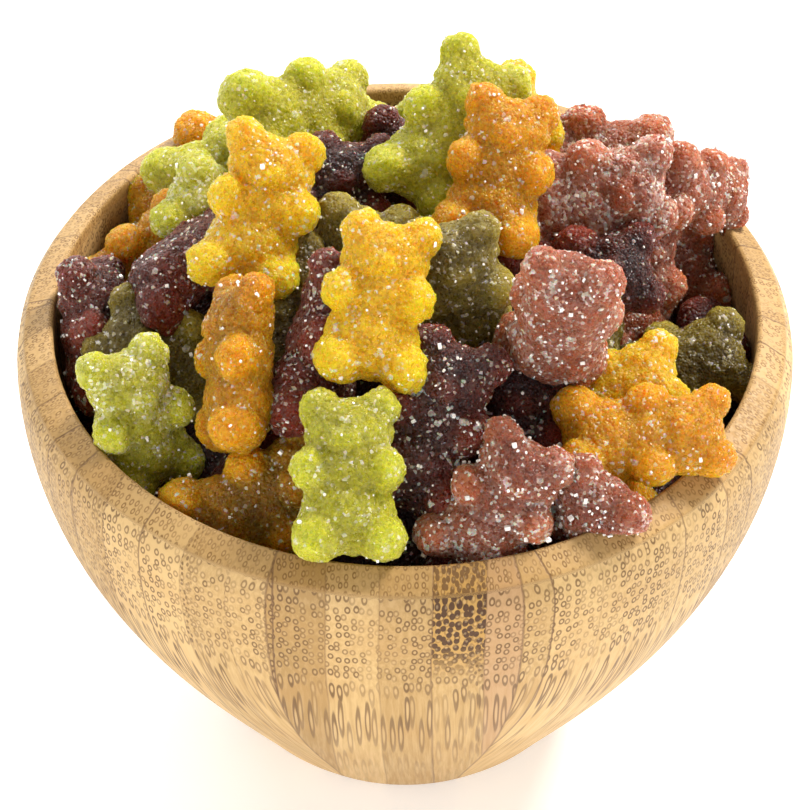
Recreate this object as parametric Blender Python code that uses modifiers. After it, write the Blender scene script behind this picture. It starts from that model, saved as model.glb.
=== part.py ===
"""Sugar-coated gummy bears heaped in a turned bamboo bowl.

Metres, +Z up. The origin is the centre of the flat foot of the bowl, and the
show side of the heap faces -Y. Two solids: the turned bowl, and the heap of
bears as one solid out to its uneven outline.
"""

from math import cos, pi, radians, sin

import bmesh
import bpy
from mathutils import Matrix, Vector

MM = 0.001

# Bowl, millimetres
FOOT_RADIUS = 26.0
BELLY_RADIUS = 55.0
BELLY_HEIGHT = 66.0
BELLY_POWER = 1.06
CREASE_RADIUS = 53.9
CREASE_HEIGHT = 71.7
MOUTH_RADIUS = 49.5
RIM_HEIGHT = 73.4
WALL = 5.3
FLOOR_HEIGHT = 8.0
FLOOR_ROUNDING = 7.0
FOOT_ROUNDING = 1.5
LIP_ROUNDING = 0.7
RIM_ROUNDING = 1.2
RIM_LIFT = 0.3
SHOULDER_INSET = 0.35
WALL_POINTS = 9
TURN_STEPS = 48

# Heap, millimetres
GAP = 0.35
CORE_GAP = 1.2
CORE_EDGE_HEIGHT = 64.0
CORE_CROWN = 22.0
CORE_RINGS = 8
HEAP_VOXEL = 0.95
HEAP_KEEP = 0.042
SOFTENING = 6

# One bear, standing: X across, -Y the belly side, Z up, millimetres from its middle
BEAR_BLOBS = (
    # across, front to back, up, radii across, front to back, up
    ("chest", 0.0, 0.2, 0.6, 6.3, 4.9, 6.5),
    ("belly", 0.0, 0.1, -5.2, 6.5, 5.2, 6.0),
    ("head", 0.0, 0.2, 6.0, 5.9, 4.9, 4.9),
    ("ear left", -4.0, 0.4, 9.5, 2.7, 2.9, 2.8),
    ("ear right", 4.0, 0.4, 9.5, 2.7, 2.9, 2.8),
    ("arm left", -5.0, -1.8, 0.8, 2.8, 3.4, 3.1),
    ("arm right", 5.0, -1.8, 0.8, 2.8, 3.4, 3.1),
    ("leg left", -4.2, -1.4, -8.6, 3.5, 4.2, 3.5),
    ("leg right", 4.2, -1.4, -8.6, 3.5, 4.2, 3.5),
)

# The show side leans back by this much, so a bear turned to it lies on the heap
SHOW_SLOPE = 44.0

# Bears on the show side: x, y, z of the middle in millimetres; then degrees as seen
# from the front: lean to the right, head tipped forward, face spun to the right
SHOW_BEARS = (
    (-3, -19, 89, 18, 0, 0),
    (-18, 1, 89, 19, 0, 0),
    (-21, -22, 83, 0, 0, -80),
    (-7, -40, 79, 0, -5, 0),
    (-21, -37, 69, 60, 0, 0),
    (-37, -22, 74, -12, 28, 25),
    (-40, -4, 72, -8, 0, 60),
    (-33, -5, 72, -60, 0, 0),
    (-30, 3, 81, 55, -10, 115),
    (-38, 15, 70, 50, 0, 20),
    (-29, 24, 76, -60, 50, 0),
    (-24, 24, 74, 60, 0, 180),
    (-35, 27, 68, 0, 0, 0),
    (-25, 37, 71, 80, 0, 0),
    (-16, 28, 84, 75, -35, 0),
    (-4, 27, 79, 20, 30, 0),
    (-8, 8, 83, 5, 0, 0),
    (1, 38, 70, 90, 0, 0),
    (7, 16, 93, 31, 0, 0),
    (12, 8, 89, 12, 0, 0),
    (16, 32, 77, -20, 0, 0),
    (25, 9, 84, 85, 5, 10),
    (27, 34, 70, -80, 0, 0),
    (43, 18, 73, 95, -45, 0),
    (34, 5, 75, 10, 0, 30),
    (24, -1, 79, 80, 0, 0),
    (-3, 0, 82, -65, 0, 150),
    (7, -8, 85, -10, 30, 0),
    (-13, -18, 83, 20, 0, 60),
    (-15, -8, 80, 30, 0, 0),
    (18, -23, 83, 55, 45, 0),
    (3, -31, 81, 20, 0, 0),
    (11, -40, 76, 40, 20, 0),
    (23, -38, 72, 35, 60, 0),
    (31, -17, 76, 70, 15, 150),
    (32, -29, 75, 85, 0, -20),
    (38, -6, 71, 70, 0, 180),
    (27, -13, 74, 0, 0, 0),
    (17, -31, 74, 10, 0, 0),
)

# Bears on the slope behind, by the bearing from the back, degrees
BACK_BEARINGS = (-64, -47, -30, -13, 4, 21, 38, 55)
BACK_RADIUS = 38.0
BACK_HEIGHT = 71.0
BACK_SLOPE = 55.0
BACK_LEAN = 40.0
BACK_LEAN_STEP = 75.0
BACK_SPIN_STEP = 30.0


def new_collection(name):
    made = bpy.data.collections.new(name)
    bpy.context.scene.collection.children.link(made)
    return made


def new_material(name, colour, roughness):
    made = bpy.data.materials.new(name)
    made.use_nodes = True
    shader = made.node_tree.nodes["Principled BSDF"]
    shader.inputs["Base Color"].default_value = (*colour, 1.0)
    shader.inputs["Roughness"].default_value = roughness
    shader.inputs["Metallic"].default_value = 0.0
    return made


def new_object(name, mesh, collection, material=None):
    made = bpy.data.objects.new(name, mesh)
    collection.objects.link(made)
    if material is not None:
        mesh.materials.append(material)
    return made


def outer_radius(height):
    """Radius of the outer wall, in millimetres, from the foot up to the belly."""
    share = max(0.0, min(1.0, height / BELLY_HEIGHT))
    return FOOT_RADIUS + (BELLY_RADIUS - FOOT_RADIUS) * sin(pi / 2 * share**BELLY_POWER)


def inner_radius(height):
    """Radius of the inner wall, in millimetres."""
    return min(MOUTH_RADIUS, outer_radius(height) - WALL)


def arc(centre, radius, start, end, count):
    """Points on an arc about (radius, height) centre, from start to end degrees."""
    turns = (start + (end - start) * i / (count - 1) for i in range(count))
    return [
        (centre[0] + radius * cos(radians(t)), centre[1] + radius * sin(radians(t)))
        for t in turns
    ]


def bowl_profile():
    """(radius, height) from the middle of the inner floor, over the rim, to the foot."""
    floor_top = FLOOR_HEIGHT + FLOOR_ROUNDING
    corner = (inner_radius(floor_top) - FLOOR_ROUNDING, floor_top)
    points = [(0.0, FLOOR_HEIGHT)]
    points += arc(corner, FLOOR_ROUNDING, -90, -10, 4)
    span = BELLY_HEIGHT - floor_top - 4
    for i in range(WALL_POINTS):
        height = floor_top + 4 + span * i / (WALL_POINTS - 1)
        points.append((inner_radius(height), height))
    lip = (MOUTH_RADIUS + LIP_ROUNDING, RIM_HEIGHT - LIP_ROUNDING)
    points += arc(lip, LIP_ROUNDING, 180, 80, 3)
    rim_edge = (CREASE_RADIUS - RIM_ROUNDING, CREASE_HEIGHT - RIM_ROUNDING + RIM_LIFT)
    points += arc(rim_edge, RIM_ROUNDING, 75, 15, 3)
    points.append((BELLY_RADIUS - SHOULDER_INSET, (CREASE_HEIGHT + BELLY_HEIGHT) / 2))
    for i in range(WALL_POINTS + 1):
        height = BELLY_HEIGHT * (1 - i / (WALL_POINTS + 1))
        points.append((outer_radius(height), height))
    points.append((FOOT_RADIUS - FOOT_ROUNDING * 0.3, FOOT_ROUNDING * 0.3))
    points.append((FOOT_RADIUS - FOOT_ROUNDING, 0.0))
    points.append((0.0, 0.0))
    return points


def turned(name, profile, collection, material=None):
    """A solid turned about Z from a (radius, height) profile in millimetres."""
    shape = bmesh.new()
    verts = [shape.verts.new((r * MM, 0.0, h * MM)) for r, h in profile]
    for a, b in zip(verts, verts[1:]):
        shape.edges.new((a, b))
    mesh = bpy.data.meshes.new(name)
    shape.to_mesh(mesh)
    shape.free()
    made = new_object(name, mesh, collection, material)
    screw = made.modifiers.new("turn", "SCREW")
    screw.steps = TURN_STEPS
    screw.render_steps = TURN_STEPS
    screw.use_merge_vertices = True
    screw.merge_threshold = 0.0001
    screw.use_smooth_shade = True
    return made


def core_profile():
    """The heap's core: the inside of the bowl with a crown, from the top down."""
    edge = MOUTH_RADIUS - CORE_GAP
    points = []
    for i in range(CORE_RINGS + 1):
        share = i / CORE_RINGS
        points.append((edge * share, CORE_EDGE_HEIGHT + CORE_CROWN * (1 - share**2)))
    floor = FLOOR_HEIGHT + CORE_GAP
    top = floor + FLOOR_ROUNDING
    for i in range(WALL_POINTS):
        height = CORE_EDGE_HEIGHT - (CORE_EDGE_HEIGHT - top) * (i + 1) / WALL_POINTS
        points.append((inner_radius(height) - CORE_GAP, height))
    corner = (inner_radius(top) - CORE_GAP - FLOOR_ROUNDING, top)
    points += arc(corner, FLOOR_ROUNDING, -20, -90, 4)
    points.append((0.0, floor))
    return points


def bear_matrix(x, y, z, lean, tip, spin, slope=SHOW_SLOPE, bearing=0.0):
    """Where a bear lies: upright to face -Y, then spun, tipped, leant and laid back."""
    turn = Matrix.Rotation(radians(bearing), 4, "Z")
    turn @= Matrix.Rotation(radians(-slope), 4, "X")
    turn @= Matrix.Rotation(radians(lean), 4, "Y")
    turn @= Matrix.Rotation(radians(tip), 4, "X")
    turn @= Matrix.Rotation(radians(spin), 4, "Z")
    return Matrix.Translation(Vector((x, y, z)) * MM) @ turn


def add_bear(shape, place):
    for _, x, y, z, wide, deep, tall in BEAR_BLOBS:
        blob = Matrix.Translation(Vector((x, y, z)) * MM)
        blob @= Matrix.Diagonal((wide * MM, deep * MM, tall * MM, 1.0))
        bmesh.ops.create_icosphere(
            shape, subdivisions=2, radius=1.0, matrix=place @ blob
        )


def bear_places():
    places = [bear_matrix(*row) for row in SHOW_BEARS]
    for i, bearing in enumerate(BACK_BEARINGS):
        turn = radians(180 + bearing)
        x = BACK_RADIUS * sin(turn)
        y = -BACK_RADIUS * cos(turn)
        lean = BACK_LEAN - BACK_LEAN_STEP * (i % 3)
        spin = BACK_SPIN_STEP * i
        places.append(
            bear_matrix(x, y, BACK_HEIGHT, lean, 0, spin, BACK_SLOPE, 180 + bearing)
        )
    return places


def main():
    for old in list(bpy.data.objects):
        bpy.data.objects.remove(old, do_unlink=True)
    parts = new_collection("gummy_bear_bowl")
    cutters = new_collection("cutters")
    bamboo = new_material("bamboo", (0.62, 0.43, 0.20), 0.5)
    gummy = new_material("gummy", (0.45, 0.16, 0.02), 0.45)

    turned("bowl", bowl_profile(), parts, bamboo)

    core = turned("core", core_profile(), cutters)
    bpy.context.view_layer.update()
    graph = bpy.context.evaluated_depsgraph_get()
    shape = bmesh.new()
    turned_core = bpy.data.meshes.new_from_object(core.evaluated_get(graph))
    shape.from_mesh(turned_core)
    bpy.data.meshes.remove(turned_core)
    bpy.data.objects.remove(core)
    bmesh.ops.recalc_face_normals(shape, faces=shape.faces)
    for place in bear_places():
        add_bear(shape, place)
    mesh = bpy.data.meshes.new("gummy_bears")
    shape.to_mesh(mesh)
    shape.free()
    heap = new_object("gummy_bears", mesh, parts, gummy)

    keep_out = turned("bowl_clearance", clearance_profile(), cutters)
    keep_out.hide_render = True
    keep_out.display_type = "WIRE"

    remesh = heap.modifiers.new("one skin", "REMESH")
    remesh.mode = "VOXEL"
    remesh.voxel_size = HEAP_VOXEL * MM
    remesh.use_smooth_shade = True
    soften = heap.modifiers.new("soften", "SMOOTH")
    soften.factor = 0.5
    soften.iterations = SOFTENING
    fewer = heap.modifiers.new("fewer faces", "DECIMATE")
    fewer.decimate_type = "COLLAPSE"
    fewer.ratio = HEAP_KEEP
    clear = heap.modifiers.new("clear of bowl", "BOOLEAN")
    clear.operation = "DIFFERENCE"
    clear.solver = "EXACT"
    clear.object = keep_out


def clearance_profile():
    """The bowl grown by the gap, cut off flat well below the floor and outside."""
    floor_top = FLOOR_HEIGHT + FLOOR_ROUNDING
    corner = (inner_radius(floor_top) - FLOOR_ROUNDING, floor_top)
    points = [(0.0, FLOOR_HEIGHT + GAP)]
    points += arc(corner, FLOOR_ROUNDING - GAP, -90, -10, 4)
    span = BELLY_HEIGHT - floor_top - 4
    for i in range(WALL_POINTS):
        height = floor_top + 4 + span * i / (WALL_POINTS - 1)
        points.append((inner_radius(height) - GAP, height))
    points.append((MOUTH_RADIUS - GAP, RIM_HEIGHT - LIP_ROUNDING))
    points.append((MOUTH_RADIUS + 0.5, RIM_HEIGHT + GAP))
    points.append((CREASE_RADIUS, CREASE_HEIGHT + 0.8))
    points.append((BELLY_RADIUS + 1.0, BELLY_HEIGHT))
    points.append((BELLY_RADIUS + 1.0, -5.0))
    points.append((0.0, -5.0))
    return points


main()
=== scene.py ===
"""Sugar-coated gummy bears heaped in a turned bamboo bowl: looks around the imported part.

Sizes and places at the top are in millimetres, and MM turns them into Blender's metres.
The show side of the heap faces -Y.
"""

import random
from math import cos, pi, radians, sin

import bmesh
import bpy
import numpy as np
from mathutils import Euler, Matrix, Vector, noise


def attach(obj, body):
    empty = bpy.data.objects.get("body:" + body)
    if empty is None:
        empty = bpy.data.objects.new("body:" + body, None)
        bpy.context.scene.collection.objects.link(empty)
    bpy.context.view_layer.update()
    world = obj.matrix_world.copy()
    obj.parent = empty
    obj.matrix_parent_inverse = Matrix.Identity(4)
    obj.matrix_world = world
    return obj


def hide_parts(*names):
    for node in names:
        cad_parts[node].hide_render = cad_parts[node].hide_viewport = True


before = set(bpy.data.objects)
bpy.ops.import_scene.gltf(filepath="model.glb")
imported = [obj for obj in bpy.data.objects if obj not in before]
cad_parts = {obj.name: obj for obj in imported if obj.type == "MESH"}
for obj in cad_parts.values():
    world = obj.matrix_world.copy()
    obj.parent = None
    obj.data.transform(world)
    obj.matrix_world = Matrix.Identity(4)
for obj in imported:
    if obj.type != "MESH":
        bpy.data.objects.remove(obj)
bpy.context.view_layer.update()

MM = 0.001
SEED = 11

# ---------------------------------------------------------------- bowl sizes, millimetres
FOOT_RADIUS = 26.0
BELLY_RADIUS = 55.0
BELLY_HEIGHT = 66.0
BELLY_POWER = 1.06
CREASE_RADIUS = 53.9
CREASE_HEIGHT = 71.7
MOUTH_RADIUS = 49.5
RIM_HEIGHT = 73.4
WALL = 5.3
FLOOR_HEIGHT = 8.0
FLOOR_ROUNDING = 7.0
LIP_ROUNDING = 0.7
CREASE_ROUNDING = 1.2
TURN_STEPS = 160

# ---------------------------------------------------------------- bamboo laminate
BLOCKS = 10
BLOCK_START = 19.5  # degrees from the front to the first joint
FRONT_BLOCK = 20.0  # number of the wedge that faces -Y, as the material counts them
FRONT_LEAD = 0.286  # shifts that wedge's strips to where they show
STRIP_WIDTH = 7.0
BOLD_STRIP = 1.0
PINK_STRIP = 2.0
FIBRE_BEND = 55.0  # height where the fibres turn from end-on to lengthwise
FRONT_TONES = (0.95, 0.3, 0.7, 0.55, 0.65)
PALE_BAMBOO = (0.62, 0.41, 0.175)
TAN_BAMBOO = (0.37, 0.22, 0.075)
PINK_BAMBOO = (0.46, 0.26, 0.145)
WARM_BAMBOO = (0.46, 0.26, 0.09)
GOLDEN_BAMBOO = (0.48, 0.25, 0.035)
# colour of the rim face: partly its darker end grain, partly painted shade
RIM_END_GRAIN_AND_SHADE = (0.37, 0.19, 0.045)
FIBRE_RING = (0.13, 0.062, 0.02)
FIBRE_HEART = (0.56, 0.39, 0.20)
FIBRE_BOLD = (0.065, 0.026, 0.010)
GLUE = (0.13, 0.06, 0.025)

# ---------------------------------------------------------------- bear sizes, millimetres
BEAR_BLOBS = (
    # across, front to back, up, then the three radii
    (0.0, 0.2, 0.6, 6.4, 4.9, 6.6),
    (0.0, 0.1, -5.2, 6.6, 5.2, 6.0),
    (0.0, 0.2, 6.0, 6.1, 4.9, 5.0),
    (0.0, -3.7, 5.0, 2.6, 1.9, 2.0),
    (-4.1, 0.4, 9.5, 2.9, 3.1, 3.0),
    (4.1, 0.4, 9.5, 2.9, 3.1, 3.0),
    (-5.0, -1.8, 0.8, 2.8, 3.3, 3.2),
    (5.0, -1.8, 0.8, 2.8, 3.3, 3.2),
    (-4.3, -1.5, -8.7, 3.6, 4.3, 3.6),
    (4.3, -1.5, -8.7, 3.6, 4.3, 3.6),
)
BACK_PLANE = 4.4  # the flat back that the mould's open side leaves
FINE_SKIN = 0.46
COARSE_SKIN = 1.1
SHOW_SLOPE = 44.0
BACK_SLOPE = 55.0
WALL_GAP = 0.1
RIM_GAP = 0.05

# How freely bears move as they settle: placed ones, those behind, those underneath
SHOW_LOOSE, BACK_LOOSE, UNDER_LOOSE = 0.2, 0.6, 1.0

# The balls that keep bears apart: across, front to back, up, radius
BEAR_BALLS = np.array(
    (
        (0.0, 0.0, 6.4, 5.0),
        (-3.8, 0.4, 9.3, 2.6),
        (3.8, 0.4, 9.3, 2.6),
        (-1.2, 0.0, 0.6, 5.3),
        (1.2, 0.0, 0.6, 5.3),
        (-1.0, 0.0, -4.8, 5.5),
        (1.0, 0.0, -4.8, 5.5),
        (-4.9, -1.6, 0.9, 3.0),
        (4.9, -1.6, 0.9, 3.0),
        (-4.3, -0.9, -8.6, 3.5),
        (4.3, -0.9, -8.6, 3.5),
    )
)

# Bears on the show side: kind, x, y, z of the middle in millimetres; then degrees as
# seen from the front: lean to the right, head tipped forward, face spun to the right;
# then size, how thickly the sugar lies, and the share of the kind's second colour (partly
# painted light and shade)
SHOW_BEARS = (
    ("yellow", -3, -19, 89, 9, 0, 0, 1.0, 0.45, 0.0),
    ("yellow", -18, 1, 86, 14, 0, 0, 0.97, 0.55, 0.1),
    ("amber", -19, -22, 83, 0, 0, -70, 0.93, 0.3, 0.5),
    ("green", -7, -40, 79, 0, -5, 0, 0.92, 0.5, 0.15),
    ("amber", -21, -37, 69, 60, 0, 0, 1.0, 0.3, 0.9),
    ("green", -37, -23, 73, -12, 28, 25, 0.92, 0.9, 0.3),
    ("plum", -40, -4, 72, -8, 0, 60, 0.95, 0.6, 0.2),
    ("shaded_green", -33, -5, 72, -60, 0, 0, 0.95, 0.3, 0.7),
    ("plum", -30, 3, 79, 55, -10, 115, 1.0, 0.4, 0.5),
    ("amber", -38, 15, 70, 50, 0, 20, 0.95, 0.5, 0.2),
    ("green", -28, 20, 76, -60, 50, 0, 1.0, 1.0, 0.0),
    ("green", -24, 24, 74, 60, 0, 180, 1.0, 0.4, 0.0),
    ("amber", -32, 24, 68, 0, 0, 0, 0.92, 0.3, 0.0),
    ("amber", -23, 34, 71, 80, 0, 0, 0.92, 0.3, 0.0),
    ("green", -16, 28, 84, 75, -35, 0, 1.0, 0.4, 0.0),
    ("plum", -3, 24, 77, 20, 30, 0, 0.92, 0.2, 0.0),
    ("plum", -8, 8, 83, 5, 0, 0, 1.0, 0.3, 0.0),
    ("green", 1, 38, 70, 90, 0, 0, 0.95, 0.6, 0.2),
    ("green", 7, 16, 92, 31, 0, 0, 0.98, 0.4, 0.0),
    ("amber", 14, 8, 87, 12, 0, 0, 0.98, 0.4, 0.0),
    ("yellow", 18, 32, 76, -20, 0, 0, 1.0, 0.5, 0.0),
    ("rose", 25, 8, 85, 85, 5, 10, 1.06, 1.3, 0.6),
    ("rose", 27, 33, 72, -80, 0, 0, 1.0, 1.0, 0.4),
    ("rose", 46, 20, 76, 95, -45, 0, 0.82, 0.7, 0.8),
    ("rose", 33, 4, 75, 10, 0, 30, 1.0, 0.7, 0.5),
    ("plum", 24, -1, 79, 80, 0, 0, 0.97, 0.2, 0.0),
    ("shaded_green", -3, 0, 82, -65, 0, 150, 1.0, 0.4, 0.5),
    ("shaded_green", 7, -8, 85, -10, 30, 0, 0.97, 0.5, 0.6),
    ("plum", -11, -17, 82, 20, 0, 60, 1.0, 0.6, 0.3),
    ("shaded_green", -15, -8, 80, 30, 0, 0, 1.0, 0.1, 1.0),
    ("rose", 19.5, -24, 82, 15, 55, 180, 1.04, 0.9, 0.5),
    ("plum", 3, -31, 81, 20, 0, 0, 1.0, 0.6, 0.1),
    ("rose", 12, -40, 76, 32, 20, 0, 0.92, 1.0, 0.3),
    ("rose", 23, -38, 70, 35, 60, 0, 0.95, 1.0, 0.3),
    ("yellow", 28, -18, 74, 70, 15, 150, 0.92, 0.45, 0.3),
    ("amber", 32, -30, 74, 85, 0, -20, 0.95, 0.4, 0.0),
    ("shaded_green", 35, -7, 69, 70, 0, 180, 1.0, 0.3, 0.8),
    ("shaded_green", 25, -12, 73, 0, 0, 0, 0.9, 0.3, 0.9),
    ("plum", 18, -27, 75, 10, 0, 0, 1.0, 0.3, 0.0),
)

# Bears on the slope behind, at bearings from the back in degrees
BACK_FIRST, BACK_STEP = -64, 17
BACK_RADIUS, BACK_HEIGHT = 39.0, 67.0
BACK_KINDS = ("rose", "amber", "green", "yellow", "plum", "green", "amber", "plum")

# Bears that show only through the gaps: rings of (count, radius, height)
UNDER_RINGS = ((12, 38.0, 58.0), (9, 26.0, 64.0), (5, 12.0, 70.0))
# mostly plum, the darkest jelly, which adds painted shade to the gaps
UNDER_KINDS = ("plum", "plum", "amber", "plum", "plum", "green", "plum")

# Loose sugar: crystals on a plain bear, and how much more the dark kinds carry
CRYSTALS_EACH = 55
DARK_SUGAR = 3.0
CLUMPS = 6
CLUMP_REACH = 3.0

# The core under the bears: (radius, height) over its top, then it follows the wall
CORE_TOP = ((0.0, 78.0), (16.0, 76.0), (30.0, 70.0), (40.0, 63.0), (44.0, 58.0))
CORE_FOOT = ((18.0, 9.2), (0.0, 9.0))
CORE_GAP = 0.6
CORE_SWELL = 2.2

# Looks of each kind: (plain and second body colour, the second partly painted light and
# shade), painted glow colour where thin, sugar haze, how far red, green and blue spread in
# the jelly, and the spread's scale in metres
KIND_LOOKS = {
    "yellow": (
        ((0.80, 0.45, 0.002), (0.64, 0.28, 0.002)), (0.96, 0.60, 0.004),
        (0.98, 0.72, 0.12), (1.0, 0.55, 0.05), 0.0045,
    ),
    "amber": (
        ((0.62, 0.27, 0.002), (0.17, 0.075, 0.003)), (0.82, 0.37, 0.003),
        (0.88, 0.52, 0.08), (1.0, 0.40, 0.04), 0.0045,
    ),
    "green": (
        ((0.47, 0.42, 0.012), (0.26, 0.25, 0.015)), (0.62, 0.60, 0.02),
        (0.88, 0.85, 0.36), (0.8, 1.0, 0.1), 0.004,
    ),
    # green jelly darkened as painted shade, for green bears lying in shadow
    "shaded_green": (
        ((0.24, 0.18, 0.02), (0.085, 0.05, 0.006)), (0.36, 0.27, 0.02),
        (0.66, 0.55, 0.26), (0.9, 0.8, 0.1), 0.0035,
    ),
    "plum": (
        ((0.026, 0.003, 0.004), (0.10, 0.015, 0.007)), (0.20, 0.022, 0.005),
        (0.45, 0.24, 0.18), (1.0, 0.2, 0.08), 0.003,
    ),
    "rose": (
        ((0.18, 0.040, 0.020), (0.36, 0.090, 0.03)), (0.48, 0.13, 0.035),
        (0.74, 0.48, 0.40), (1.0, 0.3, 0.15), 0.003,
    ),
}
# white of the sugar grains, also used for their painted glints
WARM_SUGAR_GLINT = (1.0, 0.95, 0.84)

# Soft studio lights in metres and watts: place, point aimed at, disc size, power, colour
WHITE = (1.0, 1.0, 1.0)
LIGHTS = (
    ("key", (0.40, 0.34, 0.60), (0.0, 0.0, 0.07), 0.25, 8.5, (1.0, 0.97, 0.93)),
    ("front_fill", (-0.25, -0.85, 0.22), (0.0, 0.0, 0.04), 0.7, 6.0, WHITE),
    ("left_fill", (-0.70, -0.10, 0.20), (0.0, 0.0, 0.05), 0.5, 1.0, WHITE),
    ("right_fill", (0.75, -0.30, 0.12), (0.0, 0.0, 0.04), 0.5, 1.8, WHITE),
    ("back_sheet", (-0.25, 0.65, 0.45), (0.0, 0.0, 0.07), 0.6, 4.5, WHITE),
)
SKY_STRENGTH = 0.40
CAMERA_PLACE = (0.0, -0.3545, 0.3931)
CAMERA_DOWN = 43.66
CAMERA_LENS = 150.5


# ---------------------------------------------------------------- helpers
def new_mesh_object(name, shape, *materials):
    """A mesh object from a bmesh, which is freed."""
    mesh = bpy.data.meshes.new(name)
    shape.to_mesh(mesh)
    shape.free()
    made = bpy.data.objects.new(name, mesh)
    bpy.context.scene.collection.objects.link(made)
    for material in materials:
        mesh.materials.append(material)
    return made


def smooth_faces(shape):
    """Shades every face of a bmesh smooth."""
    for face in shape.faces:
        face.smooth = True


class Nodes:
    """Short words for building a material's or a group's nodes."""

    def __init__(self, tree):
        self.tree = tree

    def add(self, kind, **settings):
        node = self.tree.nodes.new(kind)
        for key, value in settings.items():
            setattr(node, key, value)
        return node

    def wire(self, socket, value):
        if isinstance(value, bpy.types.NodeSocket):
            self.tree.links.new(value, socket)
        else:
            socket.default_value = value

    def math(self, operation, a, b=0.0, c=0.0, clamp=False):
        node = self.add("ShaderNodeMath", operation=operation, use_clamp=clamp)
        for socket, value in zip(node.inputs, (a, b, c)):
            self.wire(socket, value)
        return node.outputs[0]

    def step(self, value, low, high, to_low=0.0, to_high=1.0, smooth=True):
        node = self.add("ShaderNodeMapRange")
        node.interpolation_type = "SMOOTHSTEP" if smooth else "LINEAR"
        for key, item in zip(
            ("Value", "From Min", "From Max", "To Min", "To Max"),
            (value, low, high, to_low, to_high),
        ):
            self.wire(node.inputs[key], item)
        return node.outputs["Result"]

    def mix(self, share, a, b, blend="MIX"):
        node = self.add("ShaderNodeMix", data_type="RGBA", blend_type=blend)
        self.wire(node.inputs["Factor"], share)
        colour_a, colour_b = [s for s in node.inputs if s.type == "RGBA"][:2]
        for socket, value in ((colour_a, a), (colour_b, b)):
            if isinstance(value, tuple):
                value = (*value, 1.0)
            self.wire(socket, value)
        return [s for s in node.outputs if s.type == "RGBA"][0]

    def xyz(self, x, y, z=0.0):
        node = self.add("ShaderNodeCombineXYZ")
        for socket, value in zip(node.inputs, (x, y, z)):
            self.wire(socket, value)
        return node.outputs[0]

    def noise(self, vector, scale, detail=2.0, rough=0.5, dims="3D"):
        node = self.add("ShaderNodeTexNoise", noise_dimensions=dims)
        self.wire(node.inputs["Vector"], vector)
        node.inputs["Scale"].default_value = scale
        node.inputs["Detail"].default_value = detail
        node.inputs["Roughness"].default_value = rough
        return node.outputs["Fac"]

    def cells(self, vector, scale, dims="3D", feature="F1", randomness=1.0):
        node = self.add(
            "ShaderNodeTexVoronoi", voronoi_dimensions=dims, feature=feature
        )
        self.wire(node.inputs["Vector"], vector)
        node.inputs["Scale"].default_value = scale
        node.inputs["Randomness"].default_value = randomness
        return node

    def chance(self, vector):
        node = self.add("ShaderNodeTexWhiteNoise", noise_dimensions="3D")
        self.wire(node.inputs["Vector"], vector)
        return node.outputs["Value"]


def new_material(name):
    """A material, the words to build it with, and its Principled shader."""
    made = bpy.data.materials.new(name)
    made.use_nodes = True
    nodes = Nodes(made.node_tree)
    return made, nodes, made.node_tree.nodes["Principled BSDF"]


def new_group(name, inputs, outputs):
    """A node group; inputs are (name, socket type, default), outputs (name, type)."""
    tree = bpy.data.node_groups.new(name, "ShaderNodeTree")
    for label, kind, value in inputs:
        made = tree.interface.new_socket(label, in_out="INPUT", socket_type=kind)
        made.default_value = value
    for label, kind in outputs:
        tree.interface.new_socket(label, in_out="OUTPUT", socket_type=kind)
    nodes = Nodes(tree)
    return tree, nodes, nodes.add("NodeGroupInput"), nodes.add("NodeGroupOutput")


# ---------------------------------------------------------------- bamboo
def outer_radius(height):
    """The bowl's outer radius up to the belly, a quarter of a sine wave."""
    share = max(0.0, min(1.0, height / BELLY_HEIGHT))
    return FOOT_RADIUS + (BELLY_RADIUS - FOOT_RADIUS) * sin(pi / 2 * share**BELLY_POWER)


def inner_radius(height):
    """The bowl's inner radius, one wall inside the outer one and never past the mouth."""
    return min(MOUTH_RADIUS, outer_radius(height) - WALL)


def arc(centre, radius, start, end, count):
    """Points along an arc between two angles in degrees."""
    turns = (start + (end - start) * i / (count - 1) for i in range(count))
    return [
        (centre[0] + radius * cos(radians(t)), centre[1] + radius * sin(radians(t)))
        for t in turns
    ]


def bowl_profile():
    """(radius, height) from the middle of the inner floor, over the rim, to the foot."""
    floor_top = FLOOR_HEIGHT + FLOOR_ROUNDING
    corner = (inner_radius(floor_top) - FLOOR_ROUNDING, floor_top)
    points = [(0.0, FLOOR_HEIGHT), (9.0, FLOOR_HEIGHT)]
    points += arc(corner, FLOOR_ROUNDING, -90, -10, 6)
    span = BELLY_HEIGHT - floor_top - 4
    points += [
        (inner_radius(floor_top + 4 + span * i / 17), floor_top + 4 + span * i / 17)
        for i in range(18)
    ]
    lip = (MOUTH_RADIUS + LIP_ROUNDING, RIM_HEIGHT - LIP_ROUNDING)
    points += arc(lip, LIP_ROUNDING, 180, 80, 5)
    crease = (CREASE_RADIUS - CREASE_ROUNDING, CREASE_HEIGHT - 0.9)
    points += arc(crease, CREASE_ROUNDING, 75, 12, 6)
    points += [(BELLY_RADIUS - 0.42, 70.0), (BELLY_RADIUS - 0.08, 68.0)]
    for i in range(25):
        height = BELLY_HEIGHT * (1 - i / 25) + 0.5
        points.append((outer_radius(height), height))
    points += [(FOOT_RADIUS - 0.3, 0.4), (FOOT_RADIUS - 1.2, 0.0), (0.0, 0.0)]
    return points


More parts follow.
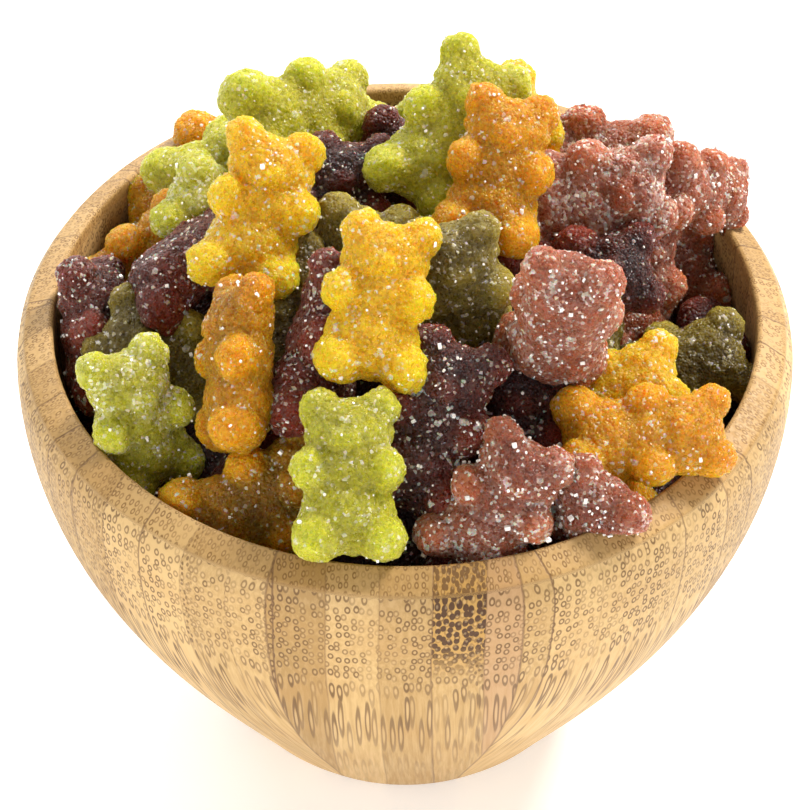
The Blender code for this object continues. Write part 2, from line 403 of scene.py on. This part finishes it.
def build_bowl(material):
    """The turned bowl."""
    shape = bmesh.new()
    ring = [shape.verts.new((r * MM, 0.0, h * MM)) for r, h in bowl_profile()]
    for a, b in zip(ring, ring[1:]):
        shape.edges.new((a, b))
    bmesh.ops.spin(
        shape,
        geom=shape.verts[:] + shape.edges[:],
        cent=(0, 0, 0),
        axis=(0, 0, 1),
        angle=2 * pi,
        steps=TURN_STEPS,
        use_merge=True,
        use_duplicate=False,
    )
    bmesh.ops.remove_doubles(shape, verts=shape.verts, dist=0.00001)
    bmesh.ops.recalc_face_normals(shape, faces=shape.faces)
    smooth_faces(shape)
    return new_mesh_object("bamboo_bowl", shape, material)


def bamboo_place(n):
    """Where a point lies in its block: height, block number, angle from the block's
    middle, distance from the axis, and places across and outward, in millimetres."""
    place = n.add("ShaderNodeTexCoord").outputs["Object"]
    scaled = n.add("ShaderNodeVectorMath", operation="SCALE")
    n.wire(scaled.inputs[0], place)
    scaled.inputs["Scale"].default_value = 1.0 / MM
    split = n.add("ShaderNodeSeparateXYZ")
    n.wire(split.inputs[0], scaled.outputs[0])
    x, y, z = split.outputs
    block_angle = 2 * pi / BLOCKS
    bearing = n.math("ARCTAN2", x, n.math("MULTIPLY", y, -1.0))
    turned = n.math("ADD", bearing, radians(BLOCK_START) + 4 * pi)
    block = n.math("FLOOR", n.math("DIVIDE", turned, block_angle))
    middle = n.math("MULTIPLY", n.math("ADD", block, 0.5), block_angle)
    off = n.math("SUBTRACT", turned, middle)
    squares = n.math("ADD", n.math("MULTIPLY", x, x), n.math("MULTIPLY", y, y))
    radius = n.math("SQRT", squares)
    across = n.math("MULTIPLY", radius, n.math("SINE", off))
    outward = n.math("MULTIPLY", radius, n.math("COSINE", off))
    return z, block, off, radius, across, outward


def fibre_marks(n, fibre_at, dense, luck, z):
    """Fibre ends as pale hearts in dark rings, bolder towards one side of each strip,
    with finer dots in some strips. Returns the marks and the hearts."""
    dots = n.cells(fibre_at, 0.90, dims="2D", randomness=0.62)
    reach = dots.outputs["Distance"]
    ring = n.math("MULTIPLY", n.step(reach, 0.13, 0.23), n.step(reach, 0.42, 0.32))
    heart = n.step(reach, 0.20, 0.08)
    dot_luck = n.add("ShaderNodeSeparateColor")
    n.wire(dot_luck.inputs[0], dots.outputs["Color"])
    varied = n.step(dot_luck.outputs[0], 0.0, 1.0, -0.25, 0.3)
    strength = n.math("ADD", n.step(dense, 0.0, 1.0, 0.5, 0.95), varied, clamp=True)
    ring = n.math("MULTIPLY", ring, strength)
    fine = n.cells(fibre_at, 1.5, dims="2D", randomness=0.85)
    fine_dot = n.step(fine.outputs["Distance"], 0.38, 0.20)
    some = n.math("GREATER_THAN", luck, 0.6)
    fine_share = n.math("MULTIPLY", n.step(dense, 0.45, 1.0), some)
    rest = n.math("SUBTRACT", 1.0, n.math("MULTIPLY", fine_share, 0.6))
    marks = n.math(
        "MAXIMUM", n.math("MULTIPLY", ring, rest), n.math("MULTIPLY", fine_dot, fine_share)
    )
    # low on the wall the fibres run along it and their marks grow faint
    lower = n.step(z, 10.0, 46.0, 0.2, 1.0)
    return n.math("MULTIPLY", marks, lower), heart


def front_tones(n, strip):
    """The tone of each strip of the front block, read from a stepped ramp."""
    ramp = n.add("ShaderNodeValToRGB")
    ramp.color_ramp.interpolation = "CONSTANT"
    stops = ramp.color_ramp.elements
    for i, shade in enumerate(FRONT_TONES):
        position = i / len(FRONT_TONES)
        stop = stops[i] if i < 2 else stops.new(position)
        stop.position, stop.color = position, (shade, shade, shade, 1.0)
    n.wire(ramp.inputs["Fac"], n.math("DIVIDE", n.math("ADD", strip, 2.5), 5.0))
    return ramp.outputs["Color"]


def bamboo_material():
    """Wedge blocks round the bowl, each glued from upright strips of bamboo whose
    fibres run inward and down, so their ends show as dots high on the wall and as
    streaks low down."""
    made, n, shader = new_material("bamboo")
    z, block, off, radius, across, outward = bamboo_place(n)

    # Distance across the fibres: they meet the rim and the upper wall end on, and bend
    # to run along the lower wall
    bend = n.math("SMOOTH_MAX", n.math("SUBTRACT", z, FIBRE_BEND), 0.0, 9.0)
    wall_cross = n.math("ADD", n.math("MULTIPLY", z, 0.05), n.math("MULTIPLY", bend, 0.66))
    rim = n.step(z, CREASE_HEIGHT - 0.5, CREASE_HEIGHT - 0.1)
    rim_cross = n.math("MULTIPLY", rim, n.math("MULTIPLY", outward, 1.3))
    cross = n.math("ADD", wall_cross, rim_cross)

    # strips, which wander a little, and two numbers drawn for each
    wander = n.noise(n.xyz(n.math("MULTIPLY", z, 0.02), block, 0.0), 3.0, 1.0)
    sway = n.math("MULTIPLY", n.math("SUBTRACT", wander, 0.5), 0.8)
    shifted = n.math("ADD", across, sway)
    front_block = n.math("COMPARE", block, FRONT_BLOCK, 0.5)
    start_luck = n.chance(n.xyz(block, 3.7, 1.0))
    to_front = n.math("MULTIPLY", front_block, n.math("SUBTRACT", FRONT_LEAD, start_luck))
    lead = n.math("ADD", to_front, start_luck)
    strip_place = n.math("ADD", n.math("DIVIDE", shifted, STRIP_WIDTH), lead)
    strip = n.math("FLOOR", strip_place)
    in_strip = n.math("SUBTRACT", strip_place, strip)
    luck = n.chance(n.xyz(block, strip, 0.5))
    luck2 = n.chance(n.xyz(block, strip, 8.5))

    flip = n.math("GREATER_THAN", luck2, 0.5)
    dense = n.math("ABSOLUTE", n.math("SUBTRACT", in_strip, flip))
    size = n.math("ADD", 1.0, n.math("MULTIPLY", rim, 0.35))
    down = n.math("ADD", cross, n.math("MULTIPLY", luck2, 40.0))
    fibre_at = n.xyz(n.math("MULTIPLY", shifted, size), down)
    marks, heart = fibre_marks(n, fibre_at, dense, luck, z)

    # the one tinted strip on the show side, with bold dark fibre ends
    bold = n.math("MULTIPLY", front_block, n.math("COMPARE", strip, BOLD_STRIP, 0.5))
    bold_dots = n.cells(fibre_at, 1.12, dims="2D", randomness=0.7)
    bold_mark = n.step(bold_dots.outputs["Distance"], 0.50, 0.38)
    upper = n.step(z, 54.0, 64.0)
    bold_upper = n.math("MULTIPLY", bold, upper)
    bold_mark = n.math("MULTIPLY", bold_mark, bold_upper)

    # colour of the strip, then of its fibres
    tone = n.step(luck, 0.0, 1.0, -0.1, 0.55, smooth=False)
    change = n.math("SUBTRACT", front_tones(n, strip), tone)
    tone = n.math("ADD", tone, n.math("MULTIPLY", front_block, change))
    along = n.xyz(n.math("MULTIPLY", shifted, 1.6), n.math("MULTIPLY", cross, 1.4), strip)
    streak = n.noise(along, 1.0, 4.0, 0.65)
    tone = n.math("ADD", tone, n.step(streak, 0.3, 0.7, -0.22, 0.22), clamp=True)
    wood = n.mix(tone, PALE_BAMBOO, TAN_BAMBOO)
    pinkish = n.math("MULTIPLY", n.math("COMPARE", strip, PINK_STRIP, 0.5), front_block)
    wood = n.mix(n.math("MULTIPLY", pinkish, 0.5), wood, PINK_BAMBOO)
    cloud = n.noise(n.xyz(shifted, cross, z), 0.09, 2.0)
    wood = n.mix(n.step(cloud, 0.35, 0.7, 0.0, 0.3), wood, WARM_BAMBOO)
    wood = n.mix(n.math("MULTIPLY", bold_upper, 0.55), wood, GOLDEN_BAMBOO)
    wood = n.mix(n.math("MULTIPLY", marks, 0.85, clamp=True), wood, FIBRE_RING)
    wood = n.mix(n.math("MULTIPLY", bold_mark, 0.95, clamp=True), wood, FIBRE_BOLD)
    wood = n.mix(n.math("MULTIPLY", heart, 0.3), wood, FIBRE_HEART)
    # darkens the rim face, partly for its end grain and partly as painted shade
    wood = n.mix(n.math("MULTIPLY", rim, 0.3), wood, RIM_END_GRAIN_AND_SHADE)

    # glue lines between strips and between blocks
    side = n.math("MINIMUM", in_strip, n.math("SUBTRACT", 1.0, in_strip))
    line_luck = n.chance(n.xyz(block, n.math("ROUND", strip_place), 5.5))
    line_strength = n.step(line_luck, 0.0, 1.0, 0.12, 0.7)
    line = n.math("MULTIPLY", n.step(side, 0.030, 0.008), line_strength)
    edge = n.math("SUBTRACT", pi / BLOCKS, n.math("ABSOLUTE", off))
    block_edge = n.step(n.math("MULTIPLY", edge, radius), 0.28, 0.06)
    glue = n.math("MAXIMUM", line, n.math("MULTIPLY", block_edge, 0.55))
    wood = n.mix(glue, wood, GLUE)

    n.wire(shader.inputs["Base Color"], wood)
    shader.inputs["Specular IOR Level"].default_value = 0.28
    n.wire(shader.inputs["Roughness"], n.step(streak, 0.3, 0.7, 0.46, 0.62))
    bump = n.add("ShaderNodeBump")
    bump.inputs["Strength"].default_value = 0.35
    bump.inputs["Distance"].default_value = 0.00012
    sunk = n.math("ADD", n.math("MULTIPLY", marks, 0.6), glue)
    height = n.math("SUBTRACT", n.math("MULTIPLY", streak, 0.5), sunk)
    n.wire(bump.inputs["Height"], height)
    n.wire(shader.inputs["Normal"], bump.outputs[0])
    return made


# ---------------------------------------------------------------- gummy
def sugar_coat_group():
    """Fine sugar over a jelly body: its colour, its roughness and its height."""
    tree, n, put_in, put_out = new_group(
        "sugar_coat",
        (
            ("Body", "NodeSocketColor", (0.8, 0.5, 0.1, 1.0)),
            ("Haze", "NodeSocketColor", (0.9, 0.8, 0.6, 1.0)),
            ("Cover", "NodeSocketFloat", 0.4),
        ),
        (
            ("Color", "NodeSocketColor"),
            ("Roughness", "NodeSocketFloat"),
            ("Height", "NodeSocketFloat"),
        ),
    )
    place = n.add("ShaderNodeTexCoord").outputs["Object"]
    grains = n.cells(place, 2300.0)
    picked = n.add("ShaderNodeSeparateColor")
    n.wire(picked.inputs[0], grains.outputs["Color"])
    big = n.cells(place, 1150.0)
    picked_big = n.add("ShaderNodeSeparateColor")
    n.wire(picked_big.inputs[0], big.outputs["Color"])
    cover = put_in.outputs["Cover"]
    patch = n.noise(place, 240.0, 3.0, 0.6)
    amount = n.math("MULTIPLY", cover, n.step(patch, 0.38, 0.66, 0.25, 1.3))
    lit = n.math("GREATER_THAN", n.math("MULTIPLY", amount, 0.20), picked.outputs[0])
    big_share = n.math("MULTIPLY", amount, 0.03)
    lit_big = n.math("GREATER_THAN", big_share, picked_big.outputs[0])
    # picked grains turn white: sugar, brightened as painted glints
    glint = n.step(picked.outputs[1], 0.0, 1.0, 0.4, 1.0)
    bright = n.math("MULTIPLY", n.math("MAXIMUM", lit, lit_big), glint)
    veil = n.math("MULTIPLY", amount, n.step(picked.outputs[2], 0.0, 1.0, 0.05, 0.3))
    speck = n.step(picked.outputs[1], 0.0, 1.0, 0.8, 1.15, smooth=False)
    shade = n.add("ShaderNodeVectorMath", operation="SCALE")
    n.wire(shade.inputs[0], put_in.outputs["Body"])
    n.wire(shade.inputs["Scale"], speck)
    colour = n.mix(veil, shade.outputs[0], put_in.outputs["Haze"])
    colour = n.mix(n.math("MULTIPLY", bright, 0.75), colour, WARM_SUGAR_GLINT)
    n.wire(put_out.inputs["Color"], colour)
    n.wire(put_out.inputs["Roughness"], n.step(picked.outputs[2], 0.0, 1.0, 0.16, 0.55))
    rise = n.math("SUBTRACT", 1.0, grains.outputs["Distance"])
    rise_big = n.math("MULTIPLY", n.math("SUBTRACT", 1.0, big.outputs["Distance"]), 1.2)
    n.wire(put_out.inputs["Height"], n.math("ADD", rise, rise_big))
    return tree


def gummy_material(name, body, thin_glow, haze, reach, scatter, coat):
    """Jelly of one colour: thin places get a painted glow of light shining through them,
    sugar lies over it.
    """
    made, n, shader = new_material(name)
    tint_and_shade = n.add("ShaderNodeAttribute", attribute_name="tint_and_shade").outputs["Fac"]
    cover = n.add("ShaderNodeAttribute", attribute_name="sugar").outputs["Fac"]
    thin_glow_share = n.add("ShaderNodeAttribute", attribute_name="thin_glow").outputs["Fac"]
    # the second body colour stands partly for another jelly shade and partly for painted
    # light and shade
    tone = n.mix(tint_and_shade, body[0], body[1])
    # mixes in the painted glow colour where the bear is thin, as if light shone through it
    tone = n.mix(thin_glow_share, tone, thin_glow)
    group = n.add("ShaderNodeGroup")
    group.node_tree = coat
    n.wire(group.inputs["Body"], tone)
    group.inputs["Haze"].default_value = (*haze, 1.0)
    n.wire(group.inputs["Cover"], cover)
    n.wire(shader.inputs["Base Color"], group.outputs["Color"])
    n.wire(shader.inputs["Roughness"], group.outputs["Roughness"])
    shader.inputs["IOR"].default_value = 1.42
    shader.inputs["Specular IOR Level"].default_value = 0.3
    shader.inputs["Sheen Weight"].default_value = 0.25
    shader.inputs["Sheen Roughness"].default_value = 0.4
    shader.inputs["Sheen Tint"].default_value = (*haze, 1.0)
    shader.inputs["Transmission Weight"].default_value = 0.3
    shader.inputs["Subsurface Weight"].default_value = 1.0
    shader.inputs["Subsurface Radius"].default_value = reach
    shader.inputs["Subsurface Scale"].default_value = scatter
    bump = n.add("ShaderNodeBump")
    bump.inputs["Strength"].default_value = 0.9
    bump.inputs["Distance"].default_value = 0.0003
    n.wire(bump.inputs["Height"], group.outputs["Height"])
    n.wire(shader.inputs["Normal"], bump.outputs[0])
    return made


def sugar_material():
    """Loose sugar crystals, a little uneven in whiteness and gloss."""
    made, n, shader = new_material("sugar")
    place = n.add("ShaderNodeTexCoord").outputs["Object"]
    tone = n.step(n.noise(place, 1500.0, 1.0), 0.35, 0.65)
    n.wire(shader.inputs["Base Color"], n.mix(tone, (1.0, 0.93, 0.84), (1.0, 0.98, 0.94)))
    n.wire(shader.inputs["Roughness"], n.step(tone, 0.0, 1.0, 0.12, 0.3))
    shader.inputs["IOR"].default_value = 1.5
    return made


# ---------------------------------------------------------------- bears
def bear_form(skin):
    """One plain bear as a closed skin of about even mesh, in millimetres."""
    shape = bmesh.new()
    for x, y, z, wide, deep, tall in BEAR_BLOBS:
        place = Matrix.Translation((x, y, z)) @ Matrix.Diagonal((wide, deep, tall, 1.0))
        bmesh.ops.create_icosphere(shape, subdivisions=3, radius=1.0, matrix=place)
    made = new_mesh_object("bear_form", shape)
    wrap = made.modifiers.new("wrap", "REMESH")
    wrap.mode = "VOXEL"
    wrap.voxel_size = skin
    graph = bpy.context.evaluated_depsgraph_get()
    wrapped = bpy.data.meshes.new_from_object(made.evaluated_get(graph))
    bpy.data.objects.remove(made)
    shape = bmesh.new()
    shape.from_mesh(wrapped)
    rounds = max(3, int(1.2 / skin**2))
    for _ in range(rounds):
        bmesh.ops.smooth_vert(
            shape, verts=shape.verts, factor=0.5,
            use_axis_x=True, use_axis_y=True, use_axis_z=True,
        )
    for vert in shape.verts:
        if vert.co.y > BACK_PLANE:
            vert.co.y = BACK_PLANE + (vert.co.y - BACK_PLANE) * 0.2
    bmesh.ops.triangulate(shape, faces=shape.faces)
    smooth_faces(shape)
    shape.to_mesh(wrapped)
    shape.free()
    return wrapped


def lie(x, y, z, lean, tip, spin, slope=SHOW_SLOPE, bearing=0.0):
    """Where a bear lies: upright to face -Y, then spun, tipped, leant and laid back."""
    turn = Matrix.Rotation(radians(bearing), 3, "Z")
    turn @= Matrix.Rotation(radians(-slope), 3, "X")
    turn @= Matrix.Rotation(radians(lean), 3, "Y")
    turn @= Matrix.Rotation(radians(tip), 3, "X")
    turn @= Matrix.Rotation(radians(spin), 3, "Z")
    return np.array((x, y, z), float), np.array(turn)


def all_bears(rng):
    """Every bear before settling, as dicts."""
    bears = []
    for kind, x, y, z, lean, tip, spin, size, sugar, tint_and_shade in SHOW_BEARS:
        at, turn = lie(x, y, z, lean, tip, spin)
        bears.append(dict(
            kind=kind, at=at, turn=turn, size=size, sugar=sugar, tint_and_shade=tint_and_shade,
            loose=SHOW_LOOSE, fine=True,
        ))
    for i, kind in enumerate(BACK_KINDS):
        bearing = 180 + BACK_FIRST + BACK_STEP * i
        spot = radians(bearing)
        at, turn = lie(
            BACK_RADIUS * sin(spot), -BACK_RADIUS * cos(spot), BACK_HEIGHT,
            rng.uniform(-90, 90), rng.uniform(-15, 15), rng.uniform(0, 360),
            BACK_SLOPE, bearing,
        )
        bears.append(dict(
            kind=kind, at=at, turn=turn, size=rng.uniform(0.94, 1.04),
            sugar=rng.uniform(0.3, 0.8), tint_and_shade=rng.uniform(0, 0.6),
            loose=BACK_LOOSE, fine=True,
        ))
    count = 0
    for number, radius, height in UNDER_RINGS:
        for i in range(number):
            spot = 2 * pi * (i + rng.uniform(-0.2, 0.2)) / number
            at, turn = lie(
                radius * sin(spot), -radius * cos(spot), height,
                rng.uniform(-180, 180), rng.uniform(-20, 20), rng.uniform(0, 360),
                rng.uniform(10, 60), rng.uniform(0, 360),
            )
            kind = UNDER_KINDS[count % len(UNDER_KINDS)]
            bears.append(dict(
                kind=kind, at=at, turn=turn, size=rng.uniform(0.94, 1.02),
                sugar=rng.uniform(0.15, 0.5), tint_and_shade=rng.uniform(0, 0.6),
                loose=UNDER_LOOSE, fine=False,
            ))
            count += 1
    return bears


def wall_push(balls, radii):
    """How far each ball has to move to be clear of the bowl's wall and rim."""
    flat = np.hypot(balls[:, 0], balls[:, 1])
    height = balls[:, 2]
    inner = np.array([inner_radius(max(10.0, min(RIM_HEIGHT, h))) for h in height])
    outward = np.column_stack([balls[:, 0], balls[:, 1], np.zeros(len(balls))])
    outward /= np.maximum(flat, 1e-6)[:, None]
    up = np.zeros_like(outward)
    up[:, 2] = 1.0
    push = np.zeros_like(outward)
    gap = inner - flat
    rise = height - RIM_HEIGHT
    below = rise <= 0
    need = np.maximum(0.0, radii - gap)
    push[below] = (-outward * need[:, None])[below]
    over = (~below) & (gap < 0)
    need = np.maximum(0.0, radii - rise)
    push[over] = (up * need[:, None])[over]
    corner = (~below) & (gap >= 0)
    reach = np.hypot(gap, rise)
    need = np.maximum(0.0, radii - reach)
    away = (-outward * gap[:, None] + up * rise[:, None]) / np.maximum(reach, 1e-6)[:, None]
    push[corner] = (away * need[:, None])[corner]
    return push


def settle(bears, rounds=90, sink=0.1):
    """Pushes the bears apart and off the wall. Show-side bears stay near their place
    and keep their turn."""
    at = np.array([b["at"] for b in bears])
    home = at.copy()
    turn = np.array([b["turn"] for b in bears])
    size = np.array([b["size"] for b in bears])
    loose = np.array([b["loose"] for b in bears])
    per = len(BEAR_BALLS)
    own = np.repeat(np.arange(len(bears)), per)
    radii = (size[:, None] * BEAR_BALLS[None, :, 3]).reshape(-1)
    limit = radii[:, None] + radii[None, :] - sink
    for _ in range(rounds):
        arms = np.einsum("nij,mj->nmi", turn, BEAR_BALLS[:, :3]) * size[:, None, None]
        balls = (at[:, None] + arms).reshape(-1, 3)
        apart = balls[:, None] - balls[None]
        reach = np.linalg.norm(apart, axis=2) + 1e-6
        over = np.maximum(0.0, limit - reach)
        over[own[:, None] == own[None]] = 0.0
        weight = loose[own][:, None] / (loose[own][:, None] + loose[own][None])
        push = (apart / reach[..., None] * (over * weight)[..., None]).sum(axis=1)
        push += wall_push(balls, radii)
        push = push.reshape(len(bears), per, 3)
        touched = np.maximum(1.0, (np.linalg.norm(push, axis=2) > 1e-4).sum(axis=1))
        at += push.sum(axis=1) / touched[:, None] * 0.9
        twist = np.cross(arms, push).sum(axis=1) / touched[:, None] / 60.0
        twist *= np.where(loose <= SHOW_LOOSE, 0.0, loose)[:, None]
        for i, t in enumerate(twist):
            angle = float(np.linalg.norm(t))
            if angle > 1e-5:
                step = np.array(Matrix.Rotation(min(angle, 0.08), 3, Vector(t / angle)))
                turn[i] = step @ turn[i]
        at += (home - at) * (0.10 * (1.2 - loose))[:, None]
    for bear, a, t in zip(bears, at, turn):
        bear["at"], bear["turn"] = a, t
    return bears


def relief(point, seed):
    """Rise of the sugar coat at a point of a bear, in millimetres."""
    p = Vector(point) + Vector((seed * 3.1, seed * 1.7, -seed * 2.3))
    lumps = noise.noise(p * 0.55) * 0.35
    crust = noise.noise(p * 1.6) * 0.22
    return lumps + crust


def shape_bear(form, bear, seed, rng, fine):
    """(places, thinness that paints a glow of light through thin parts) of one bear's
    vertices in millimetres, unique to this bear.
    """
    count = len(form.vertices)
    points = np.empty(count * 3, np.float32)
    form.vertices.foreach_get("co", points)
    points = points.reshape(-1, 3).astype(float)
    normals = np.empty(count * 3, np.float32)
    form.vertices.foreach_get("normal", normals)
    normals = normals.reshape(-1, 3).astype(float)
    flat = np.hypot(points[:, 0] / 5.6, points[:, 1] / 5.2)
    reach = np.maximum(flat, np.abs(points[:, 2] + 0.5) / 11.5)
    # thinness towards the edges, which drives the painted glow of light through thin parts
    thin_glow = np.clip((reach - 0.85) / 0.5, 0.0, 1.0)
    if fine:
        rise = np.array([relief(p, seed) for p in points])
        grit = np.array([rng.uniform(-0.5, 1.0) for _ in range(count)]) * 0.14
        points += normals * (rise + grit)[:, None]
    stretch = np.array([rng.uniform(0.95, 1.06) for _ in range(3)])
    bend = rng.uniform(-0.006, 0.006)
    side = rng.uniform(-0.006, 0.006)
    points[:, 1] += bend * points[:, 2] ** 2
    points[:, 0] += side * points[:, 2] ** 2
    wring = rng.uniform(-0.012, 0.012) * points[:, 2]
    c, s = np.cos(wring), np.sin(wring)
    points[:, 0], points[:, 1] = (
        points[:, 0] * c - points[:, 1] * s,
        points[:, 0] * s + points[:, 1] * c,
    )
    points *= stretch * bear["size"]
    return points @ bear["turn"].T + bear["at"], thin_glow


def build_bears(bears, materials):
    """One mesh for each kind of bear. Returns the pieces with their kinds and keeps each
    bear's own mesh in its dict.
    """
    fine_form, coarse_form = bear_form(FINE_SKIN), bear_form(COARSE_SKIN)
    rng = random.Random(SEED + 5)
    kinds = {}
    for number, bear in enumerate(bears):
        form = fine_form if bear["fine"] else coarse_form
        points, thin_glow = shape_bear(form, bear, number, rng, bear["fine"])
        points = keep_off_wall(points)
        single = form.copy()
        single.vertices.foreach_set("co", (points * MM).astype(np.float32).ravel())
        count = len(points)
        for label, values in (
            ("thin_glow", thin_glow),
            ("tint_and_shade", np.full(count, bear["tint_and_shade"])),
            ("sugar", np.full(count, bear["sugar"])),
        ):
            layer = single.attributes.new(label, "FLOAT", "POINT")
            layer.data.foreach_set("value", values.astype(np.float32))
        single.update()
        bear["mesh"] = single
        kinds.setdefault(bear["kind"], []).append(single)
    pieces = []
    for kind, singles in kinds.items():
        shape = bmesh.new()
        for single in singles:
            shape.from_mesh(single)
        piece = new_mesh_object(kind + "_bears", shape, materials[kind])
        pieces.append((kind, piece))
    return pieces


def keep_off_wall(points):
    """Presses whatever would cut into the wall or rim back to just clear of it."""
    flat = np.hypot(points[:, 0], points[:, 1])
    inner = np.array(
        [inner_radius(max(10.0, min(RIM_HEIGHT, h))) for h in points[:, 2]]
    ) - WALL_GAP
    inside = points[:, 2] < RIM_HEIGHT
    depth_in = flat - inner
    depth_down = RIM_HEIGHT + RIM_GAP - points[:, 2]
    hit = inside & (depth_in > 0)
    inward = hit & (depth_in <= depth_down * 1.5)
    lift = hit & ~inward
    share = np.where(inward, inner / np.maximum(flat, 1e-6), 1.0)
    points[:, 0] *= share
    points[:, 1] *= share
    points[:, 2] = np.where(lift, RIM_HEIGHT + RIM_GAP, points[:, 2])
    return points


# ---------------------------------------------------------------- sugar
def crystals_on(single, count, rng):
    """A small bmesh of loose crystals sunk a little into one bear's skin."""
    shape = bmesh.new()
    total = len(single.vertices)
    clumps = [single.vertices[rng.randrange(total)].co.copy() for _ in range(CLUMPS)]
    tries = 0
    placed = 0
    while placed < count and tries < count * 6:
        tries += 1
        vert = single.vertices[rng.randrange(total)]
        near = min((vert.co - c).length for c in clumps)
        if rng.random() > 0.35 + 0.65 * (near < CLUMP_REACH * MM):
            continue
        wide = rng.uniform(0.12, 0.24) * MM * (1.7 if rng.random() < 0.1 else 1.0)
        place = Matrix.Translation(vert.co + vert.normal * wide * 0.5)
        turn = Euler([rng.uniform(0, 6.3) for _ in range(3)]).to_matrix().to_4x4()
        grow = Matrix.Diagonal(
            (wide * rng.uniform(1.2, 2.0), wide * rng.uniform(0.9, 1.6), wide * 1.2, 1.0)
        )
        bmesh.ops.create_cube(shape, size=1.0, matrix=place @ turn @ grow)
        placed += 1
    mesh = bpy.data.meshes.new("crystals")
    shape.to_mesh(mesh)
    shape.free()
    return mesh


def build_sugar(bears, material):
    """All the loose crystals on the bears that show, as one mesh."""
    rng = random.Random(SEED + 9)
    shape = bmesh.new()
    for bear in bears:
        if not bear["fine"]:
            continue
        extra = DARK_SUGAR if bear["kind"] in ("rose", "plum") else 1.0
        count = int(CRYSTALS_EACH * (0.2 + bear["sugar"] * extra))
        shape.from_mesh(crystals_on(bear["mesh"], count, rng))
    return new_mesh_object("loose_sugar", shape, material)


def build_core(material):
    """The smaller core under the bears that show; in the dark plum jelly it also paints
    shade into the gaps between them.
    """
    shape = bmesh.new()
    profile = list(CORE_TOP)
    profile += [(inner_radius(h) - CORE_GAP, h) for h in range(56, 18, -4)]
    profile += CORE_FOOT
    ring = [shape.verts.new((r * MM, 0.0, h * MM)) for r, h in profile]
    for a, b in zip(ring, ring[1:]):
        shape.edges.new((a, b))
    bmesh.ops.spin(
        shape, geom=shape.verts[:] + shape.edges[:], cent=(0, 0, 0), axis=(0, 0, 1),
        angle=2 * pi, steps=96, use_merge=True, use_duplicate=False,
    )
    bmesh.ops.remove_doubles(shape, verts=shape.verts, dist=0.00001)
    bmesh.ops.subdivide_edges(shape, edges=shape.edges, cuts=1, use_grid_fill=True)
    bmesh.ops.recalc_face_normals(shape, faces=shape.faces)
    for vert in shape.verts:
        if vert.co.z > 0.057:
            vert.co += Vector((0, 0, CORE_SWELL * MM)) * noise.noise(vert.co * 160)
    smooth_faces(shape)
    for label, value in (("thin_glow", 0.0), ("tint_and_shade", 0.1), ("sugar", 0.15)):
        layer = shape.verts.layers.float.new(label)
        for vert in shape.verts:
            vert[layer] = value
    return new_mesh_object("heap_core", shape, material)


# ---------------------------------------------------------------- stage, light, camera
def build_stage():
    """The plain pale floor."""
    shape = bmesh.new()
    bmesh.ops.create_grid(shape, x_segments=2, y_segments=2, size=2.0)
    made, n, shader = new_material("pale_floor")
    place = n.add("ShaderNodeTexCoord").outputs["Object"]
    tone = n.step(n.noise(place, 3.0, 2.0), 0.3, 0.7)
    n.wire(shader.inputs["Base Color"], n.mix(tone, (0.86, 0.86, 0.86), (0.88, 0.88, 0.88)))
    shader.inputs["Roughness"].default_value = 0.8
    shader.inputs["Emission Color"].default_value = (1.0, 1.0, 1.0, 1.0)
    shader.inputs["Emission Strength"].default_value = 0.3
    floor = new_mesh_object("floor", shape, made)


def add_light(name, place, aim, size, power, colour):
    """A soft round light at a place, turned towards a point."""
    data = bpy.data.lights.new(name, "AREA")
    data.shape = "DISK"
    data.size = size
    data.energy = power
    data.color = colour
    lamp = bpy.data.objects.new(name, data)
    lamp.location = place
    way = Vector(aim) - Vector(place)
    lamp.rotation_euler = way.to_track_quat("-Z", "Y").to_euler()
    bpy.context.scene.collection.objects.link(lamp)


def build_light():
    """White surroundings and the studio lights."""
    world = bpy.data.worlds.new("studio")
    bpy.context.scene.world = world
    world.use_nodes = True
    back = world.node_tree.nodes["Background"]
    back.inputs["Color"].default_value = (1.0, 1.0, 1.0, 1.0)
    back.inputs["Strength"].default_value = SKY_STRENGTH
    for light in LIGHTS:
        add_light(*light)


def build_camera():
    """The camera in front of the show side, looking down at it."""
    data = bpy.data.cameras.new("camera")
    data.lens = CAMERA_LENS
    data.sensor_width = 36.0
    camera = bpy.data.objects.new("camera", data)
    camera.location = CAMERA_PLACE
    camera.rotation_euler = (radians(90 - CAMERA_DOWN), 0.0, 0.0)
    bpy.context.scene.collection.objects.link(camera)
    bpy.context.scene.camera = camera


def main():
    """Builds every piece, places it on the part's body, and sets the stage."""
    bpy.context.scene.view_settings.view_transform = "Standard"
    coat = sugar_coat_group()
    materials = {
        kind: gummy_material("gummy_" + kind, *look, coat)
        for kind, look in KIND_LOOKS.items()
    }
    bowl = build_bowl(bamboo_material())
    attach(bowl, "root")
    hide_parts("bowl")

    bears = settle(all_bears(random.Random(SEED)))
    for kind, piece in build_bears(bears, materials):
        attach(piece, "root")
        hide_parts("gummy_bears")
    # the core is dark plum jelly: it stands for the hidden bears and paints shade into the
    # gaps
    core = build_core(materials["plum"])
    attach(core, "root")
    sugar = build_sugar(bears, sugar_material())
    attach(sugar, "root")

    build_stage()
    build_light()
    build_camera()


main()
